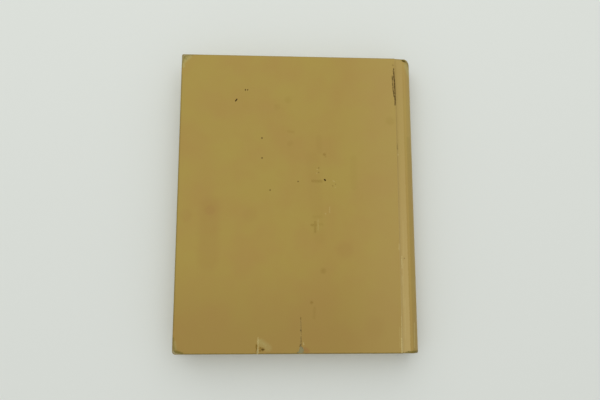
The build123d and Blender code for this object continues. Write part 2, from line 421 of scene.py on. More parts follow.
# The sheet's columns and rows lie closer together at its edges, corners and tears
tear_step, plate_step, least_gap = 0.7, 4.0, 2.0
edge_columns = np.linspace(edge_round, 7, 7)
fine_columns = [*edge_columns, *(short_tear_at + np.arange(-5, 14.1, tear_step))]
fine_columns += [*(long_tear_at + np.arange(-6.3, 6.4, tear_step))]
plate_end = board_end - board_edge_round - fore_edge
coarse_columns = [plate_end - board_edge_round, *np.arange(11, plate_end - 3, plate_step)]
back_columns = spread_out(fine_columns, coarse_columns, least_gap)
tear_columns = {
    int(np.argmin(abs(back_columns - short_tear_at))): (short_tear, 0.8),
    int(np.argmin(abs(back_columns - long_tear_at))): (long_tear, 0.2),
}
tail_rows = [*corner_rows(tail_corner), *np.arange(6, 14, 0.8), *np.arange(15, 36, 1.6)]
head_rows = [*corner_rows(head_corner), *np.arange(4, 20, 1.6)]
middle_rows = np.arange(40 - half_length, half_length - 22, plate_step)
back_rows = spread_out(from_ends(tail_rows, head_rows), middle_rows, least_gap)

half_joint = joint_stations()
rise_at = 2 * edge_steps + 1 + groove_steps
far_joint = mirrored([part[rise_at:] for part in half_joint])
thirds = zip(half_joint, spine_stations(), far_joint)
back_stations = [np.concatenate([near, around[1:], far[1:]]) for near, around, far in thirds]
back_sheet = covering_sheet(
    1, tail_corner, head_corner, back_stations, back_columns, back_rows, tear_columns, spine_knock
)
back_covering = solid_object("back_covering", back_sheet, sheet_thickness)


def paint(red, green, blue):
    """A colour given as it looks on a screen, 0 to 255, in the linear values that Blender works in."""
    shares = (red / 255, green / 255, blue / 255)
    linear = [c / 12.92 if c <= 0.04045 else ((c + 0.055) / 1.055) ** 2.4 for c in shares]
    return (*linear, 1.0)


def feed(tree, socket, value):
    """Links a socket to another one, or gives it a plain value."""
    if isinstance(value, bpy.types.NodeSocket):
        tree.links.new(value, socket)
    else:
        socket.default_value = value


def add(tree, kind, *values, **named):
    """Adds a node. Values fill its inputs in order. A name with a capital is an input, with underscores for
    its spaces, and any other name is one of the node's settings."""
    made = tree.nodes.new(kind)
    for name in sorted(named, key=lambda name: name[0].isupper()):
        if name[0].isupper():
            feed(tree, made.inputs[name.replace("_", " ")], named[name])
        else:
            setattr(made, name, named[name])
    for socket, value in zip(made.inputs, values):
        feed(tree, socket, value)
    return made


def calc(tree, operation, *values):
    """A Math node's result."""
    return add(tree, "ShaderNodeMath", *values, operation=operation).outputs[0]


def layered(tree, over, share, under, rest):
    """Two heights or tones added up, each by its own share."""
    return calc(tree, "MULTIPLY_ADD", over, share, calc(tree, "MULTIPLY", under, rest))


def vector_calc(tree, operation, *values):
    """A Vector Math node's result: a number for a length or a product, else a vector."""
    made = add(tree, "ShaderNodeVectorMath", *values, operation=operation)
    return made.outputs["Value" if operation in ("DOT_PRODUCT", "LENGTH", "DISTANCE") else "Vector"]


def scaled(tree, vector, factor):
    """A vector times a number."""
    return add(tree, "ShaderNodeVectorMath", vector, operation="SCALE", Scale=factor).outputs["Vector"]


def parts_of(tree, vector):
    """A vector's X, Y and Z."""
    return add(tree, "ShaderNodeSeparateXYZ", vector).outputs


def clamped(tree, value):
    """A number kept between 0 and 1."""
    return add(tree, "ShaderNodeClamp", value).outputs["Result"]


def ramp(tree, value, low, high, to_low=0.0, to_high=1.0):
    """A number carried smoothly from one range to another."""
    kind = {"interpolation_type": "SMOOTHSTEP"}
    return add(tree, "ShaderNodeMapRange", value, low, high, to_low, to_high, **kind).outputs["Result"]


def noise(tree, place, size, detail=2.0, roughness=0.5, output="Fac"):
    """Noise whose lumps are about so many millimetres across."""
    sizes = {"Scale": 1 / size, "Detail": detail, "Roughness": roughness}
    return add(tree, "ShaderNodeTexNoise", place, **sizes).outputs[output]


def tint(tree, share, under, over):
    """One colour laid over another by a share."""
    made = add(tree, "ShaderNodeMix", data_type="RGBA")
    for label, value in (("Factor_Float", share), ("A_Color", under), ("B_Color", over)):
        feed(tree, next(s for s in made.inputs if s.identifier == label), value)
    return next(s for s in made.outputs if s.identifier == "Result_Color")


def new_group(name, inputs, outputs, kind="Shader"):
    """A node group from its inputs' names and defaults: its tree, and its inputs' and outputs' sockets."""
    tree = bpy.data.node_groups.new(name, f"{kind}NodeTree")
    kinds = {float: "Float", int: "Int", tuple: "Vector", type(None): "Material"}
    for label, default in inputs.items():
        socket_type = f"NodeSocket{kinds[type(default)]}"
        socket = tree.interface.new_socket(label, in_out="INPUT", socket_type=socket_type)
        if default is not None:
            socket.default_value = default
    for label in outputs:
        socket_type = "NodeSocketGeometry" if kind == "Geometry" else "NodeSocketFloat"
        tree.interface.new_socket(label, in_out="OUTPUT", socket_type=socket_type)
    return tree, tree.nodes.new("NodeGroupInput").outputs, tree.nodes.new("NodeGroupOutput").inputs


def use_group(tree, name, **values):
    """Places a node group in a material; its inputs are given by name."""
    return add(tree, "ShaderNodeGroup", node_tree=bpy.data.node_groups[name], **values).outputs


def new_material(name):
    """An empty material, its tree and its place in millimetres."""
    material = bpy.data.materials.new(name)
    material.use_nodes = True
    own = add(material.node_tree, "ShaderNodeTexCoord").outputs["Object"]
    return material, material.node_tree, scaled(material.node_tree, own, 1000.0)


def finished(material, colour, roughness, height, depth, gloss=0.5):
    """The material with its colour, roughness, gloss and a bump of so many millimetres in the shader."""
    tree = material.node_tree
    shader = tree.nodes["Principled BSDF"].inputs
    bump = add(tree, "ShaderNodeBump", Strength=1.0, Distance=depth / 1000, Height=height)
    feed(tree, shader["Base Color"], colour)
    feed(tree, shader["Roughness"], roughness)
    feed(tree, shader["Normal"], bump.outputs["Normal"])
    shader["Specular IOR Level"].default_value = gloss
    return material


def own_value(tree, name):
    """A number stored on the piece's points."""
    return add(tree, "ShaderNodeAttribute", attribute_name=name).outputs["Fac"]


nowhere = (0.0, 0.0, 0.0)

# Paper grain: short fibres felted in every direction, with a slow unevenness in the tone
tree, given, end = new_group("paper_grain", {"Place": nowhere, "Fibre": 0.3}, ["Height", "Tone"])
fine = scaled(tree, given["Place"], calc(tree, "DIVIDE", 1.0, given["Fibre"]))
fibres = noise(tree, fine, 1.0, 3.0, 0.6)
streaks = noise(tree, vector_calc(tree, "MULTIPLY", fine, (0.35, 0.08, 0.35)), 1.0, 1.0)
feed(tree, end["Height"], layered(tree, streaks, 0.4, fibres, 0.6))
feed(tree, end["Tone"], layered(tree, fibres, 0.25, noise(tree, given["Place"], 34.0), 0.75))

# Edge wear: where the piece says it is rubbed, broken up so that it wears through in patches
tree, given, end = new_group("edge_wear", {"Place": nowhere, "Rub": 0.0, "Reach": 0.5}, ["Mask"])
patches = noise(tree, given["Place"], 1.1, 6.0, 0.72)
worn = calc(tree, "ADD", given["Rub"], calc(tree, "SUBTRACT", patches, 0.5))
start = calc(tree, "SUBTRACT", 1.0, given["Reach"])
feed(tree, end["Mask"], ramp(tree, worn, start, calc(tree, "ADD", start, 0.42)))

# A stroke: a speck, scratch, crack or stain between two points, with a soft rim
stroke_inputs = {"Place": nowhere, "From": nowhere, "To": nowhere, "Half width": 0.5, "Soft": 0.3}
tree, given, end = new_group("stroke", stroke_inputs, ["Mask"])
flat_place = vector_calc(tree, "MULTIPLY", given["Place"], (1.0, 1.0, 0.0))
run = vector_calc(tree, "SUBTRACT", given["To"], given["From"])
out = vector_calc(tree, "SUBTRACT", flat_place, given["From"])
along, whole_run = (vector_calc(tree, "DOT_PRODUCT", other, run) for other in (out, run))
nearest = scaled(tree, run, clamped(tree, calc(tree, "DIVIDE", along, whole_run)))
rim = calc(tree, "ADD", given["Half width"], given["Soft"])
away = vector_calc(tree, "DISTANCE", out, nearest)
feed(tree, end["Mask"], ramp(tree, away, given["Half width"], rim, 1.0, 0.0))


least_run, least_rim = 0.01, 0.35


def strokes_mask(tree, place, marks, soft):
    """Marks of one kind as one mask. Each is the points along it, then half its width and its strength."""
    total = 0.0
    for *line, half_width, strength in marks:
        points = list(zip(line[::2], line[1::2]))
        sizes = {"Half_width": half_width, "Soft": soft * (half_width + least_rim)}
        for start, (x, y) in zip(points, points[1:] or points):
            ends = {"From": (*start, 0.0), "To": (x + least_run, y, 0.0)}
            mask = use_group(tree, "stroke", Place=place, **sizes, **ends)["Mask"]
            total = calc(tree, "MAXIMUM", total, calc(tree, "MULTIPLY", mask, strength))
    return total


ochre = paint(166, 144, 71)
ochre_warm = paint(165, 137, 71)
# Pale ochre of the joint band, partly wear and partly painted sheen
ochre_pale = paint(185, 162, 102)
# Darker towards the tail: painted shade for the light's fall-off
ochre_shaded_to_tail = paint(151, 122, 65)
# Paler towards the spine: partly the paper's own tone, partly painted light
ochre_paler_to_spine = paint(173, 148, 86)
worn_olive = paint(116, 104, 46)
worn_grey = paint(176, 178, 154)
# Dark brown of cracks and specks, also used for painted shade and shadow
crack_speck_and_shade_brown = paint(52, 32, 0)
# Pale of torn fibre and creases, also used for a painted highlight
pale_fibre_and_highlight = paint(198, 182, 124)
stain_red = paint(150, 108, 62)
# Brown of smudges, also used for painted shadow
smudge_and_shadow_brown = paint(116, 90, 22)
# Olive of soiled edges, also used for painted shade
soil_and_shade_olive = paint(92, 84, 26)
# Pale green of rubbed places, also used for painted highlights
rub_and_highlight_green = paint(178, 172, 114)

# Slow colour ramps over the paper: along which axis, from and to where, how much at most, and to what.
# Darker towards the tail is painted shade for the light falling off away from the head; paler towards the
# spine is partly the paper's own tone and partly painted light lifting the shade on the spine's curve.
slow_changes = [("Y", -40.0, -140.0, 0.55, ochre_shaded_to_tail), ("X", 30.0, 98.0, 0.45, ochre_paler_to_spine)]
wobble_size, wobble_reach = 1 / 0.9, 1.5
face_heights, spine_starts, spine_heights = (24.8, 25.2), (103.5, 104.5), (15.0, 17.0)
barely_rubbed, rubbed_through = 0.62, 0.2

# Each kind of mark: its colour, how soft its rim is, whether it is broken up, and how far it stands up.
# Some marks are painted shade, shadow or highlights, as noted in the lists below.
mark_kinds = {
    "stains": (stain_red, 1.6, False, 0.0),
    "soil_and_shade": (soil_and_shade_olive, 1.0, True, 0.0),
    "rubs_and_highlights": (rub_and_highlight_green, 1.6, True, 0.0),
    "smudges_and_shadows": (smudge_and_shadow_brown, 1.7, True, 0.0),
    "creases_and_highlights": (pale_fibre_and_highlight, 0.5, True, 0.5),
    "specks_and_shade": (crack_speck_and_shade_brown, 0.5, False, 0.0),
    "cracks_and_shade": (crack_speck_and_shade_brown, 0.5, True, -1.0),
}


def covering_material(name, marks=None):
    """Satin ochre paper: tone, grain, painted shade towards the tail, rubbed edges, a joint band of wear
    and painted sheen, and this side's marks, some of them painted shade and highlights.
    """
    material, tree, place = new_material(name)
    grain = use_group(tree, "paper_grain", Place=place, Fibre=0.32)
    rub, joint, torn = (own_value(tree, label) for label in ("rub", "joint", "torn"))
    across = parts_of(tree, place)
    colour = tint(tree, ramp(tree, grain["Tone"], 0.3, 0.72), ochre, ochre_warm)
    for axis, start, stop, most, changed in slow_changes:
        colour = tint(tree, ramp(tree, across[axis], start, stop, 0.0, most), colour, changed)
    height = calc(tree, "MULTIPLY", grain["Height"], 0.16)
    roughness = ramp(tree, noise(tree, place, 9.0, 3.0), 0.3, 0.7, 0.46, 0.58)
    # The joint band: partly rubbed paper, partly painted sheen where the groove's slope faces the light
    joint_patches = {"Place": scaled(tree, place, 0.5), "Rub": joint, "Reach": barely_rubbed}
    joint_wear_and_sheen = use_group(tree, "edge_wear", **joint_patches)["Mask"]
    paler_to_tail = ramp(tree, across["Y"], 120.0, -130.0, 0.25, 0.8)
    colour = tint(tree, calc(tree, "MULTIPLY", joint_wear_and_sheen, paler_to_tail), colour, ochre_pale)
    marked = calc(tree, "MULTIPLY", torn, 0.5)
    if marks:
        wobble = noise(tree, place, wobble_size, output="Color")
        shake = scaled(tree, vector_calc(tree, "SUBTRACT", wobble, (0.5, 0.5, 0.5)), wobble_reach)
        shaken = vector_calc(tree, "ADD", place, shake)
        on_face = ramp(tree, across["Z"], *face_heights)
        on_spine = [ramp(tree, across["X"], *spine_starts), ramp(tree, across["Z"], *spine_heights)]
        on_top = calc(tree, "MAXIMUM", on_face, calc(tree, "MULTIPLY", *on_spine))
        patchy = ramp(tree, noise(tree, place, 0.8, 5.0, 0.7), 0.34, 0.6)
        patches = calc(tree, "MULTIPLY_ADD", patchy, 0.75, 0.25)
        grit = ramp(tree, noise(tree, place, 0.75), 0.4, 0.5, 0.15, 1.0)
        for kind, (under, soft, broken, stands) in mark_kinds.items():
            mask = calc(tree, "MULTIPLY", strokes_mask(tree, shaken, marks[kind], soft), on_top)
            if broken:
                mask = calc(tree, "MULTIPLY", mask, grit if kind == "cracks_and_shade" else patches)
            colour = tint(tree, mask, colour, under)
            if kind in ("smudges_and_shadows", "specks_and_shade", "cracks_and_shade"):
                marked = calc(tree, "MAXIMUM", mask, marked)
            if stands:
                height = calc(tree, "MULTIPLY_ADD", mask, stands, height)
    for reach, most, changed in ((barely_rubbed, 0.6, worn_olive), (rubbed_through, 0.75, worn_grey)):
        through = use_group(tree, "edge_wear", Place=place, Rub=rub, Reach=reach)["Mask"]
        colour = tint(tree, calc(tree, "MULTIPLY", through, most), colour, changed)
    colour = tint(tree, torn, colour, pale_fibre_and_highlight)
    roughness = calc(tree, "MULTIPLY_ADD", marked, 0.35, roughness)
    roughness = calc(tree, "MULTIPLY_ADD", through, 0.3, roughness)
    return finished(material, colour, roughness, height, depth=0.12, gloss=0.12)


# Each mark is the points along it, as X and Y in turn, then half its width and its strength
back_marks = {
    "specks_and_shade": [
        (-59.9, 95.1, -58.8, 96.6, 0.42, 1.0), (-50.7, 106.8, -50.7, 105.8, 0.28, 0.9),
        (-48.5, 106.8, -48.5, 105.8, 0.28, 0.9), (25.5, 18.7, 25.9, 18.2, 0.55, 1.0),
        (-34.2, 58.6, 0.42, 0.75), (-34.0, 39.1, 0.45, 0.75), (-26.2, 8.3, 0.5, 0.6), (0.1, 16.7, 0.4, 0.6),
        (19.8, 29.9, 0.45, 0.35), (19.7, 25.6, 0.45, 0.35), (35.7, 14.7, 0.4, 0.4), (32.9, 12.9, 0.4, 0.35),
        # Mostly dirt specks. The one at the head of the joint (103.4, 139.9) is painted shade in the hole
        # there, and the one beside the short tear (-32.2, -137.4) is painted shadow under its lifted lip.
        (2.8, -120.7, 0.5, 0.8), (99.9, -54.9, 0.45, 0.5), (103.4, 139.9, 106.4, 139.0, 0.5, 1.0),
        (-32.2, -137.4, -30.6, -137.6, 0.45, 0.55),
    ],
    "smudges_and_shadows": [
        (25.4, 43.2, 0.6, 0.5), (26.3, 41.0, 0.4, 0.25), (13.8, 17.4, 21.9, 17.2, 0.6, 0.34),
        (15.5, 17.2, 18.5, 16.6, 0.7, 0.2), (-9.0, 65.6, -4.0, 64.8, 0.5, 0.16), (-7.5, 53.6, 1.3, 0.12),
        (-9.6, 96.8, 1.6, 0.12), (-20.1, 89.6, 1.4, 0.12), (13.0, -24.5, 17.0, -24.5, 0.5, 0.4),
        (16.3, -21.6, 16.0, -31.0, 0.45, 0.36), (20.2, -23.9, 23.0, -23.9, 0.4, 0.22),
        (15.1, -16.9, 21.7, -16.5, 0.8, 0.14), (14.0, 40.0, 20.0, -36.0, 3.0, 0.05),
        (20.0, 60.0, 20.4, 46.0, 1.2, 0.08), (23.5, -67.1, 1.2, 0.28), (12.6, -95.6, 0.6, 0.5),
        (15.2, -100.7, 14.7, -109.6, 0.5, 0.16), (89.2, 77.3, 2.0, 0.14),
        # The marks beside the short tear, from (-37.0, -133.5) on, are painted shadow: its slit and the
        # dark spots under its lifted lip.
        (53.0, 40.0, 53.4, 12.0, 1.6, 0.07), (-37.0, -133.5, -36.8, -141.0, 0.3, 1.0),
        (-33.6, -136.0, 0.4, 0.9), (-31.6, -137.2, 0.6, 1.0), (-33.9, -138.4, 0.4, 0.8),
    ],
    "stains": [
        (-82.0, -8.0, -82.6, -58.0, 5.0, 0.16), (-81.7, -11.1, 3.0, 0.3), (-44.6, -15.5, 3.5, 0.12),
        (43.8, -47.7, 4.0, 0.14), (70.4, -117.8, 5.0, 0.1), (-104.0, -16.0, 3.0, 0.14),
        (6.5, -137.5, 8.5, -138.8, 1.0, 0.5),
    ],
    # Soiled edges and corners, and painted shade: the stroke at the tail of the spine from (99.5, -141.0)
    # is painted shadow in the hollow there, and the faint one along the spine from (107.6, 60.0) is painted
    # shade where the spine curves away from the light.
    "soil_and_shade": [
        (-109.8, 138.2, -108.2, 136.4, 0.45, 0.8), (-111.6, -127.0, -110.6, -136.0, 0.5, 0.5),
        (-109.6, -138.6, -103.0, -140.8, 0.6, 0.85), (99.5, -141.0, 110.8, -140.0, 0.7, 1.0),
        (107.6, 60.0, 107.8, -139.0, 1.6, 0.16), (-111.8, -120.0, -111.8, 120.0, 0.5, 0.3),
        (-100.0, -141.2, 108.0, -141.2, 0.35, 0.6),
    ],
    # Rubbed corners, and painted highlights: the line along the spine from (111.2, 126.0) is partly wear
    # and partly a painted highlight, and the two strokes on the short tear's lifted lip from (-34.4,
    # -130.0) are partly painted light on it.
    "rubs_and_highlights": [
        (-110.6, 134.5, -105.2, 139.8, 1.2, 0.55), (-111.5, 136.0, -110.5, 129.0, 0.6, 0.5),
        (107.5, 135.0, 110.8, 128.0, 1.2, 0.5), (111.2, 126.0, 111.4, 30.0, 0.2, 0.32),
        (-110.4, -131.0, -109.6, -137.0, 0.7, 0.3), (-34.4, -130.0, -29.0, -134.0, 0.7, 0.42),
        (-33.6, -131.0, -27.0, -136.0, 1.6, 0.3),
    ],
    # Creases in the paper; the short one beside the chip at (4.9, -131.6) is partly a crease and partly a
    # painted highlight at the chip's edge.
    "creases_and_highlights": [
        (-35.9, -126.8, -35.9, -141.0, 0.3, 0.7), (4.9, -131.6, 5.2, -133.0, 0.45, 0.45),
        (97.6, -53.1, 97.3, -64.2, 0.25, 1.0), (97.2, -70.7, 97.0, -80.1, 0.22, 0.7),
        (95.2, -108.3, 94.8, -130.3, 0.25, 0.8), (94.8, -128.0, 94.7, -140.5, 0.4, 1.0),
        (98.6, -60.0, 97.8, -100.0, 0.3, 0.3), (96.0, -84.0, 95.4, -112.0, 0.3, 0.35),
        (99.4, -92.0, 98.6, -128.0, 0.4, 0.25), (96.6, -118.0, 96.3, -139.0, 0.3, 0.35),
        (93.2, -118.0, 93.0, -136.0, 0.3, 0.2), (99.6, -20.0, 99.2, -52.0, 0.35, 0.2),
        (94.9, -42.4, 94.7, -46.6, 0.6, 0.35), (96.6, 44.6, 0.7, 0.7),
        (107.9, -114.3, 107.1, -136.6, 0.3, 0.4), (29.8, -7.4, 29.9, -12.6, 0.2, 0.35),
        (25.8, -13.8, 0.5, 0.4), (18.9, -18.8, 18.9, -29.6, 0.2, 0.25), (18.3, 28.7, 0.4, 0.4),
        (17.7, 24.9, 0.35, 0.35), (33.4, 18.0, 34.6, 17.2, 0.3, 0.4), (35.6, 11.5, 0.35, 0.35),
    ],
    # Cracks drawn dark: partly their own colour, partly painted shade inside the narrow slits.
    "cracks_and_shade": [
        (94.1, 130.5, 94.5, 119.1, 95.1, 108.9, 95.0, 95.0, 0.46, 1.0),
        (92.6, 123.2, 93.1, 108.8, 94.2, 100.7, 0.26, 1.0), (94.6, 116.0, 95.0, 104.0, 0.5, 0.75),
        (94.9, 98.0, 94.7, 93.6, 0.45, 0.75), (93.7, 134.1, 0.8, 0.35), (96.0, 55.5, 95.8, 49.6, 0.25, 0.6),
        (2.6, -109.0, 2.9, -124.0, 0.2, 0.6), (2.9, -126.0, 2.7, -134.0, 0.26, 0.7),
        (2.6, -133.0, 2.4, -134.8, 0.55, 0.75),
    ],
}

back_covering.data.materials.append(covering_material("covering_paper_back", back_marks))
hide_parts("back_cover_paper", "spine_cover_paper")
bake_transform(back_covering)


# ---------------------------------------------------------------- the front cover's covering
# The same sheet of paper on the other side. The book lies on it, so it is worn flat and clean, and its
# corners are still square. It runs as far as the foot of the front ridge, where the back's part begins.

square_corner = 1.5
front_columns = spread_out(edge_columns, coarse_columns, least_gap)
corner_ends = [*corner_rows(square_corner), *np.arange(3, 20, 2.0)]
middle_rows = np.arange(22 - half_length, half_length - 20, plate_step)
front_rows = spread_out(from_ends(corner_ends, corner_ends), middle_rows, least_gap)
front_stations = [part[:rise_at] for part in half_joint]
corners = square_corner, square_corner
front_sheet = covering_sheet(-1, *corners, front_stations, front_columns, front_rows, {}, 0)
front_covering = solid_object("front_covering", front_sheet, sheet_thickness)
front_covering.data.materials.append(covering_material("covering_paper_front"))
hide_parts("front_cover_paper")
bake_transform(front_covering)


# ---------------------------------------------------------------- boards and the spine's card
# Two sheets of grey board and a strip of thinner card, made of pulped waste paper with darker flecks.
# They are cut square before the covering is glued on, and show only where it is torn through.

board_light = paint(146, 140, 100)


def board_material(name, body, fleck):
    """Grey board: matt, with short darker fibres."""
    material, tree, place = new_material(name)
    grain = use_group(tree, "paper_grain", Place=place, Fibre=0.5)
    drawn_out = vector_calc(tree, "MULTIPLY", place, (1.0, 0.3, 1.0))
    flecks = ramp(tree, noise(tree, drawn_out, 0.7, 2.0, 0.8), 0.58, 0.68)
    colour = tint(tree, grain["Tone"], body, board_light)
    colour = tint(tree, calc(tree, "MULTIPLY", flecks, 0.6), colour, fleck)
    rough = ramp(tree, grain["Height"], 0.3, 0.7, 0.85, 0.95)
    return finished(material, colour, rough, grain["Height"], depth=0.1)


def dress(material, *names):
    """Gives CAD nodes that stay as they are a better material."""
    for name in names:
        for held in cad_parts[name].material_slots:
            held.material = material


dress(board_material("grey_board", paint(130, 124, 84), paint(90, 82, 54)), "back_board", "front_board")
dress(board_material("spine_card", paint(158, 146, 118), paint(116, 100, 74)), "spine_stiffener")


# ---------------------------------------------------------------- the endpapers
# One folded sheet of plain cream paper at each end of the book. One leaf is pasted down over the turned-in
# margins, whose edges show through it, and runs through the joint; the other is free, tipped to the block.

block_fore = -108.326
leaf_half = 138.0
pasted_height = 10.4
sunk_height = 10.8
leaf_height = 10.25
flange_width = 25.0
flange_from = board_end - 0.4 - flange_width
leaf_thickness = 0.26
strip_radius = 4.1
leaf_radius = 4.25
fold_circle = 11.889
margin_step = 0.6


def shoulder_turn(radius):
    """The angle at which an arc of the joint reaches the shoulder's fold."""
    angles = np.radians(np.linspace(270, 330, 2000))
    x = rise_start + radius * np.cos(angles) - spine_centre
    h = groove_floor + rise_radius + radius * np.sin(angles)
    return math.degrees(angles[np.argmax(np.hypot(x, h) > fold_circle - 0.1)])


def leaf_grid(name, section, height_at, side, facing):
    """A leaf as a sheet: a section carried from tail to head, its face turned to the gap between leaves."""
    sheet = Sheet()
    steps = (-0.9, -0.3, 0.3, 0.9)
    margins = [end * (half_length - turn_in + step) for end in (-1, 1) for step in steps]
    rows = spread_out([-leaf_half, leaf_half, *margins], np.arange(-120, 121, 8.0), 3.0)
    for y in rows:
        for x, h in section:
            sheet.add((x / 1000, y / 1000, (mid_height + side * height_at(x, y, h)) / 1000))
    wide = len(section)
    for row in range(len(rows) - 1):
        for a in range(row * wide, row * wide + wide - 1):
            face = (a, a + 1, a + wide + 1, a + wide)
            sheet.faces.append(face if side * facing > 0 else face[::-1])
    return solid_object(name, sheet, leaf_thickness)


def pasted_at(x, y, h):
    """Height of the pasted leaf: sunk onto the bare board between the margins and the gauze."""
    if x > flange_from + 5:
        return h
    between = 1.0
    for beyond in (fore_edge + turn_in - x, x - flange_from, abs(y) - (half_length - turn_in)):
        between *= 1 - float(smooth_step(-margin_step, margin_step, beyond))
    return h + (sunk_height - pasted_height) * between


def as_height(x, y, h):
    """Height of the free leaf: its section's own."""
    return h


def joint_arc(radius, steps):
    """The section of a leaf along the rise of the joint, as far as the shoulder."""
    return arc((rise_start, groove_floor + rise_radius), radius, 270, shoulder_turn(radius), steps, 1)[0]


bend_places = np.linspace(board_end, rise_start, 34)
edge_places = [fore_edge + turn_in + step for step in (-0.8, -0.4, 0, 0.4, 0.8)]
edge_places += [flange_from + step for step in (-0.8, -0.4, 0, 0.4, 0.8)]
flat_places = spread_out([block_fore, *edge_places, *bend_places], np.arange(-90, 94, 10.0), 3.0)
pasted_section = [*((x, pasted_height) for x in flat_places), *joint_arc(strip_radius, 8)[1:]]
leaf_places = spread_out([block_fore, rise_start], np.arange(-100, 101, 8.0), 3.0)
leaf_section = [*((x, leaf_height) for x in leaf_places), *joint_arc(leaf_radius, 8)[1:]]
turn = shoulder_turn(leaf_radius)
mid_radius = (strip_radius + leaf_radius) / 2
toward_fold = np.array([math.cos(math.radians(turn)), math.sin(math.radians(turn))])
fold_centre = np.array((rise_start, groove_floor + rise_radius)) + mid_radius * toward_fold
leaf_section += [*arc(fold_centre, leaf_radius - mid_radius, turn, turn + 180, 6, 1)[0][1:]]


brown_reach, brown_wander = 26.0, 14.0


def endpaper_material(name, glued):
    """Smooth cream paper, browned towards its edges. The pasted leaf has taken the glue's ripple."""
    material, tree, place = new_material(name)
    grain = use_group(tree, "paper_grain", Place=place, Fibre=0.25)
    parts = parts_of(tree, place)
    to_end = calc(tree, "SUBTRACT", leaf_half, calc(tree, "ABSOLUTE", parts["Y"]))
    to_fore = calc(tree, "SUBTRACT", parts["X"], block_fore)
    to_edge = calc(tree, "MINIMUM", to_end, to_fore)
    waves = noise(tree, place, 12.0, 3.0)
    ragged_edge = calc(tree, "MULTIPLY_ADD", waves, brown_wander, -brown_wander / 2)
    browned = ramp(tree, calc(tree, "ADD", to_edge, ragged_edge), 0.0, brown_reach, 0.6, 0.0)
    colour = tint(tree, grain["Tone"], paint(226, 218, 194), paint(219, 209, 182))
    colour = tint(tree, browned, colour, paint(203, 186, 148))
    foxing = ramp(tree, noise(tree, place, 7.0, 2.0, 0.3), 0.72, 0.78)
    colour = tint(tree, calc(tree, "MULTIPLY", foxing, 0.25), colour, paint(186, 156, 108))
    height = calc(tree, "MULTIPLY", grain["Height"], 0.12)
    if glued:
        ripple = noise(tree, vector_calc(tree, "MULTIPLY", place, (0.35, 1.0, 1.0)), 6.0, 2.0)
        height = calc(tree, "MULTIPLY_ADD", ripple, 0.9, height)
    rough = ramp(tree, grain["Height"], 0.3, 0.7, 0.72, 0.82)
    return finished(material, colour, rough, height, depth=0.1, gloss=0.25)


pasted_paper = endpaper_material("endpaper_pasted", True)
free_paper = endpaper_material("endpaper_free", False)
for cover, side in (("back", 1), ("front", -1)):
    pasted = leaf_grid(f"{cover}_pasted_leaf", pasted_section, pasted_at, side, -1)
    pasted.data.materials.append(pasted_paper)
    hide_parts(f"{cover}_pastedown")
    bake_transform(pasted)
    leaf = leaf_grid(f"{cover}_fly_leaf", leaf_section, as_height, side, 1)
    leaf.data.materials.append(free_paper)
    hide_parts(f"{cover}_free_endpaper")
    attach(leaf, "block")


# ---------------------------------------------------------------- the text block
# Twenty-six sewn sections of folded leaves, rounded at the spine, spread into shoulders there by backing,
# and hollow at the trimmed fore-edge. Each section is a shape of its own, with real seams between them.


def grown(name, tree, values):
    """The piece that a Geometry Nodes tree makes with these values for its inputs."""
    rough = new_object(name, bpy.data.meshes.new(name))
    maker = rough.modifiers.new("maker", "NODES")
    maker.node_group = tree
    for socket in tree.interface.items_tree:
        if socket.in_out == "INPUT" and socket.name in values:
            maker[socket.identifier] = values[socket.name]
    return plain_piece(name, rough)


def numbered(tree, geometry, label, value, domain):
    """Geometry with a number stored on each of its points or instances."""
    named = {"Name": label, "Value": value, "data_type": "FLOAT", "domain": domain}
    return add(tree, "GeometryNodeStoreNamedAttribute", geometry, **named).outputs["Geometry"]


def made_real(tree, instances, label):
    """Instances as real geometry, with the number of each stored on it."""
    index = add(tree, "GeometryNodeInputIndex").outputs["Index"]
    counted = numbered(tree, instances, label, index, "INSTANCE")
    return add(tree, "GeometryNodeRealizeInstances", counted).outputs["Geometry"]


def coloured(tree, geometry, material):
    """Geometry of one material."""
    return add(tree, "GeometryNodeSetMaterial", geometry, Material=material).outputs["Geometry"]


leaf_lines, along_leaf = 95.0, 0.012
dusty_depth = 0.4


def pages_material():
    """Trimmed leaves: fine lines between them at every edge, browned paper, a little dust at the head."""
    material, tree, place = new_material("page_edges")
    leaf_place = own_value(tree, "leaf_place")
    parts = parts_of(tree, place)
    across = calc(tree, "MULTIPLY", leaf_place, leaf_lines)
    along_x, along_y = (calc(tree, "MULTIPLY", parts[axis], along_leaf) for axis in ("X", "Y"))
    lined = add(tree, "ShaderNodeCombineXYZ", across, along_x, along_y).outputs["Vector"]
    leaves = noise(tree, lined, 0.55, 4.0, 0.75)
    sections = noise(tree, lined, 5.0, 1.0)
    grain = use_group(tree, "paper_grain", Place=place, Fibre=0.3)
    colour = tint(tree, ramp(tree, leaves, 0.3, 0.7), paint(186, 170, 132), paint(226, 215, 186))
    colour = tint(tree, ramp(tree, sections, 0.35, 0.65, 0.0, 0.35), colour, paint(206, 186, 142))
    dusty = ramp(tree, parts["Y"], leaf_half - dusty_depth, leaf_half, 0.0, 0.45)
    colour = tint(tree, calc(tree, "MULTIPLY", dusty, grain["Tone"]), colour, paint(160, 150, 124))
    height = layered(tree, leaves, 1.0, grain["Height"], 0.15)
    rough = ramp(tree, leaves, 0.3, 0.7, 0.9, 0.8)
    return finished(material, colour, rough, height, depth=0.12, gloss=0.2)


section_folds, fold_sharpness, least_pinch = (26, 2, 6), 480.0, 0.12
tree, given, end = new_group(
    "sewn_sections",
    {
        "Sections": 26,
        "Block half height": 9.93,
        "Block length": 276.0,
        "Fore edge": block_fore,
        "Fore edge hollow": 5.0,
        "Spine centre": spine_centre,
        "Spine radius": 11.86,
        "Spine half angle": 60.5,
        "Fan from": 84.0,
        "Shoulder from": rise_start,
        "Gap": 0.05,
        "Paper": None,
    },
    ["Geometry"],
    "Geometry",
)

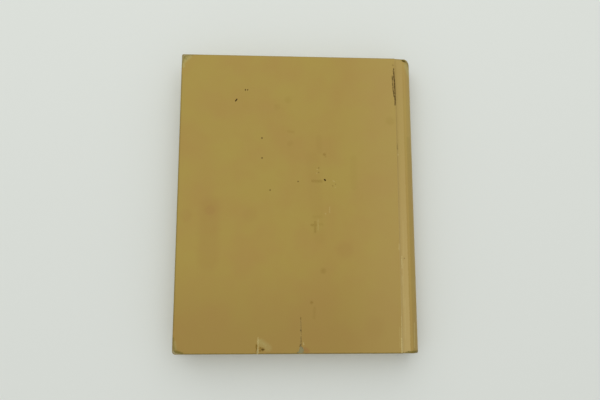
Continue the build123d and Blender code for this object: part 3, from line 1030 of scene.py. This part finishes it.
times, plus, minus, over, power = (
    partial(calc, tree, operation) for operation in ("MULTIPLY", "ADD", "SUBTRACT", "DIVIDE", "POWER")
)

# A box for each section, with the section's number on it
places = add(tree, "GeometryNodeMeshLine", Count=given["Sections"], Offset=nowhere)
slab = add(tree, "GeometryNodeMeshCube", (1, 1, 1), *section_folds)
stack = add(tree, "GeometryNodeInstanceOnPoints", places.outputs["Mesh"], Instance=slab.outputs["Mesh"])
real = made_real(tree, stack.outputs["Instances"], "section")
numbers = add(tree, "GeometryNodeInputNamedAttribute", data_type="FLOAT", Name="section")
section = numbers.outputs["Attribute"]
box = parts_of(tree, add(tree, "GeometryNodeInputPosition").outputs["Position"])

# How far along its leaf a point lies, closer together at the fold, and how high its leaf lies in the block
along = minus(1.0, power(minus(0.5, box["X"]), 3.0))
fold_share = clamped(tree, calc(tree, "MULTIPLY_ADD", minus(along, 1.0), fold_sharpness, 1.0))
pinch = calc(tree, "MAXIMUM", calc(tree, "SQRT", minus(1.0, power(fold_share, 2.0))), least_pinch)
in_section = times(times(box["Z"], minus(1.0, given["Gap"])), pinch)
layer = over(plus(plus(section, 0.5), in_section), given["Sections"])
layer = calc(tree, "MULTIPLY_ADD", layer, 2.0, -1.0)
flat_height = times(layer, given["Block half height"])

# The round of the spine, and the hollow of the fore-edge
angle = calc(tree, "RADIANS", times(layer, given["Spine half angle"]))
spine_x = plus(times(calc(tree, "COSINE", angle), given["Spine radius"]), given["Spine centre"])
spine_height = times(calc(tree, "SINE", angle), given["Spine radius"])
half, hollow = given["Block half height"], given["Fore edge hollow"]
hollow_radius = over(plus(power(half, 2.0), power(hollow, 2.0)), times(hollow, 2.0))
from_centre = calc(tree, "SQRT", minus(power(hollow_radius, 2.0), power(flat_height, 2.0)))
trim = plus(given["Fore edge"], plus(minus(from_centre, hollow_radius), hollow))
x = calc(tree, "MULTIPLY_ADD", minus(spine_x, trim), along, trim)

# The leaves fan out from the flat block to the round of the spine, the outer ones nearer to it
fan_run = minus(given["Shoulder from"], given["Fan from"])
fan_start = calc(tree, "MULTIPLY_ADD", fan_run, power(layer, 2.0), given["Fan from"])
fan_share = power(clamped(tree, over(minus(x, fan_start), minus(spine_x, fan_start))), 2.0)
height = calc(tree, "MULTIPLY_ADD", minus(spine_height, flat_height), fan_share, flat_height)
y = times(box["Y"], given["Block length"])
spot_at = add(tree, "ShaderNodeCombineXYZ", x, y, plus(height, mid_height)).outputs["Vector"]
kept = numbered(tree, real, "leaf_place", layer, "POINT")
moved = add(tree, "GeometryNodeSetPosition", kept, Position=scaled(tree, spot_at, 0.001))
feed(tree, end["Geometry"], coloured(tree, moved.outputs["Geometry"], given["Paper"]))

pages = grown("text_block_pages", tree, {"Paper": pages_material()})
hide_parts("text_block")
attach(pages, "block")


# ---------------------------------------------------------------- gauze and lining on the spine
# Starched open-weave gauze glued over the folds, whose flanges run under the pasted leaves, and a strip
# of brown paper glued over it. Both are seen only at the ends of the hollow spine.


weave_rate = 5.2


def gauze_material():
    """Open plain weave stiffened with glue."""
    material, tree, place = new_material("starched_gauze")
    parts = parts_of(tree, place)
    warp, weft = (calc(tree, "SINE", calc(tree, "MULTIPLY", parts[a], weave_rate)) for a in ("X", "Y"))
    weave = calc(tree, "MAXIMUM", warp, weft)
    colour = tint(tree, ramp(tree, weave, 0.0, 0.8), paint(150, 138, 104), paint(212, 204, 180))
    return finished(material, colour, ramp(tree, weave, 0.0, 1.0, 0.8, 0.9), weave, depth=0.12)


def lining_material():
    """Brown kraft paper, with the glue showing as darker clouds."""
    material, tree, place = new_material("kraft_lining")
    grain = use_group(tree, "paper_grain", Place=place, Fibre=0.4)
    colour = tint(tree, grain["Tone"], paint(150, 118, 78), paint(128, 98, 62))
    rough = ramp(tree, grain["Height"], 0.3, 0.7, 0.75, 0.9)
    return finished(material, colour, rough, grain["Height"], depth=0.08)


dress(gauze_material(), "spine_mull", "back_mull_flange", "front_mull_flange")
dress(lining_material(), "spine_lining")


# ---------------------------------------------------------------- head and tail bands
# A cord wound with cream and brown thread on a strip of tape, glued to the back of the block at each end,
# so that the bead covers the ends of the sections. Sizes in its tree are in metres.


dye_repeat, dyed_below = 6.0, 1.9
twist_rate = (18.0, 30.0, 18.0)


def thread_material():
    """Cotton thread, four turns of cream and two of brown, its twist showing as slanting strands."""
    material, tree, place = new_material("band_thread")
    turn_number = own_value(tree, "turn_number")
    dyed = calc(tree, "LESS_THAN", calc(tree, "MODULO", turn_number, dye_repeat), dyed_below)
    twist = calc(tree, "SINE", vector_calc(tree, "DOT_PRODUCT", place, twist_rate))
    cream = tint(tree, noise(tree, place, 2.0), paint(222, 212, 184), paint(206, 192, 158))
    colour = tint(tree, dyed, cream, paint(120, 84, 44))
    return finished(material, colour, ramp(tree, twist, -1.0, 1.0, 0.6, 0.75), twist, depth=0.03)


tree, given, end = new_group(
    "wound_band",
    {
        "Centre": nowhere,
        "Bead radius": 0.011139,
        "Half angle": 0.974,
        "Turns": 84,
        "Cord radius": 0.00074,
        "Thread radius": 0.00015,
        "Tape radius": 0.01206,
        "Tape width": 0.0135,
        "Tape thickness": 0.00022,
        "Inwards": -1.0,
        "Thread": None,
        "Tape": None,
    },
    ["Geometry"],
    "Geometry",
)
bow_points, cord_points, thread_points = 49, 12, 5


def moved_to(geometry, **way):
    """Geometry carried or turned to where it belongs."""
    return add(tree, "GeometryNodeTransform", geometry, **way).outputs["Geometry"]


def bow(radius):
    """An arc round the spine's centre line, standing in the X-Z plane."""
    start, sweep = (calc(tree, "MULTIPLY", given["Half angle"], factor) for factor in (-1.0, 2.0))
    sizes = {"Resolution": bow_points, "Radius": radius, "Start_Angle": start, "Sweep_Angle": sweep}
    made = add(tree, "GeometryNodeCurveArc", mode="RADIUS", **sizes)
    return moved_to(made.outputs["Curve"], Rotation=(math.pi / 2, 0, 0))


def tube(curve, profile):
    """A profile carried along a curve, with its ends closed."""
    return add(tree, "GeometryNodeCurveToMesh", curve, profile, Fill_Caps=True).outputs["Mesh"]


def ring(radius, points):
    """A circle with so many points."""
    sizes = {"Resolution": points, "Radius": radius}
    return add(tree, "GeometryNodeCurvePrimitiveCircle", mode="RADIUS", **sizes).outputs["Curve"]


def together(*pieces):
    """Several pieces as one."""
    made = add(tree, "GeometryNodeJoinGeometry")
    for piece in pieces:
        feed(tree, made.inputs["Geometry"], piece)
    return made.outputs["Geometry"]


bead = bow(given["Bead radius"])
cord = tube(bead, ring(given["Cord radius"], cord_points))
stations = add(tree, "GeometryNodeCurveToPoints", bead, mode="COUNT", Count=given["Turns"]).outputs
one_turn = tube(ring(given["Cord radius"], cord_points), ring(given["Thread radius"], thread_points))
placed = {"Instance": one_turn, "Rotation": stations["Rotation"]}
turns = add(tree, "GeometryNodeInstanceOnPoints", stations["Points"], **placed).outputs["Instances"]
threads = made_real(tree, turns, "turn_number")
wound = coloured(tree, together(cord, threads), given["Thread"])
strip_sizes = {"Width": given["Tape width"], "Height": given["Tape thickness"], "mode": "RECTANGLE"}
strip = add(tree, "GeometryNodeCurvePrimitiveQuadrilateral", **strip_sizes).outputs["Curve"]
half_width = calc(tree, "DIVIDE", given["Tape width"], 2.0)
aside = add(tree, "ShaderNodeCombineXYZ", 0.0, calc(tree, "MULTIPLY", given["Inwards"], half_width), 0.0)
tape = moved_to(tube(bow(given["Tape radius"]), strip), Translation=aside.outputs["Vector"])
both = together(wound, coloured(tree, tape, given["Tape"]))
feed(tree, end["Geometry"], moved_to(both, Translation=given["Centre"]))

thread, tape_cloth = thread_material(), bpy.data.materials["starched_gauze"]
bead_beyond = 0.9
for name, side in (("head_band", 1), ("tail_band", -1)):
    at = (spine_centre / 1000, side * (leaf_half + bead_beyond) / 1000, mid_height / 1000)
    values = {"Centre": at, "Inwards": -float(side), "Thread": thread, "Tape": tape_cloth}
    band = grown(f"{name}_wound", tree, values)
    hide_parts(name)
    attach(band, "block")


# ---------------------------------------------------------------- floor, light and camera
# A pale sheet of card under the book, one wide soft light over the head side, and the camera
# almost straight above, as the photograph was taken.

floor_half = 3.0
floor_mesh = bpy.data.meshes.new("floor")
floor_corners = [(x * floor_half, y * floor_half, 0) for x, y in ((-1, -1), (1, -1), (1, 1), (-1, 1))]
floor_mesh.from_pydata(floor_corners, [], [(0, 1, 2, 3)])
floor_card = bpy.data.materials.new("floor_card")
floor_card.use_nodes = True
card = {"Base Color": paint(221, 225, 219), "Roughness": 0.9, "Specular IOR Level": 0.1}
for label, value in card.items():
    floor_card.node_tree.nodes["Principled BSDF"].inputs[label].default_value = value
floor_mesh.materials.append(floor_card)
floor = new_object("floor", floor_mesh)


def soft_light(name, place, aim, size, watts):
    """A square area light at a place, turned to what it lights."""
    data = bpy.data.lights.new(name, "AREA")
    data.shape = "SQUARE"
    data.size = size
    data.energy = watts
    lamp = new_object(name, data)
    lamp.location = place
    way = np.array(aim) - np.array(place)
    lamp.rotation_euler = (math.atan2(math.hypot(way[0], way[1]), -way[2]), 0, math.atan2(-way[0], way[1]))


soft_light("head_light", place=(-0.1, 0.9, 1.15), aim=(0, 0.05, 0), size=2.4, watts=12.5)

world = bpy.data.worlds.new("world")
world.use_nodes = True
sky = world.node_tree.nodes["Background"].inputs
sky["Color"].default_value = (1, 1, 1, 1)
sky["Strength"].default_value = 0.7
bpy.context.scene.world = world
bpy.context.scene.view_settings.view_transform = "Standard"

camera_data = bpy.data.cameras.new("camera")
camera_data.sensor_width = 36
camera_data.lens = 36
camera_data.clip_start = 0.01
camera = new_object("camera", camera_data)
camera.location = (-0.0275, -0.095, 0.5823)
camera.rotation_euler = [math.radians(a) for a in (9.62, -3.04, -0.03)]
bpy.context.scene.camera = camera
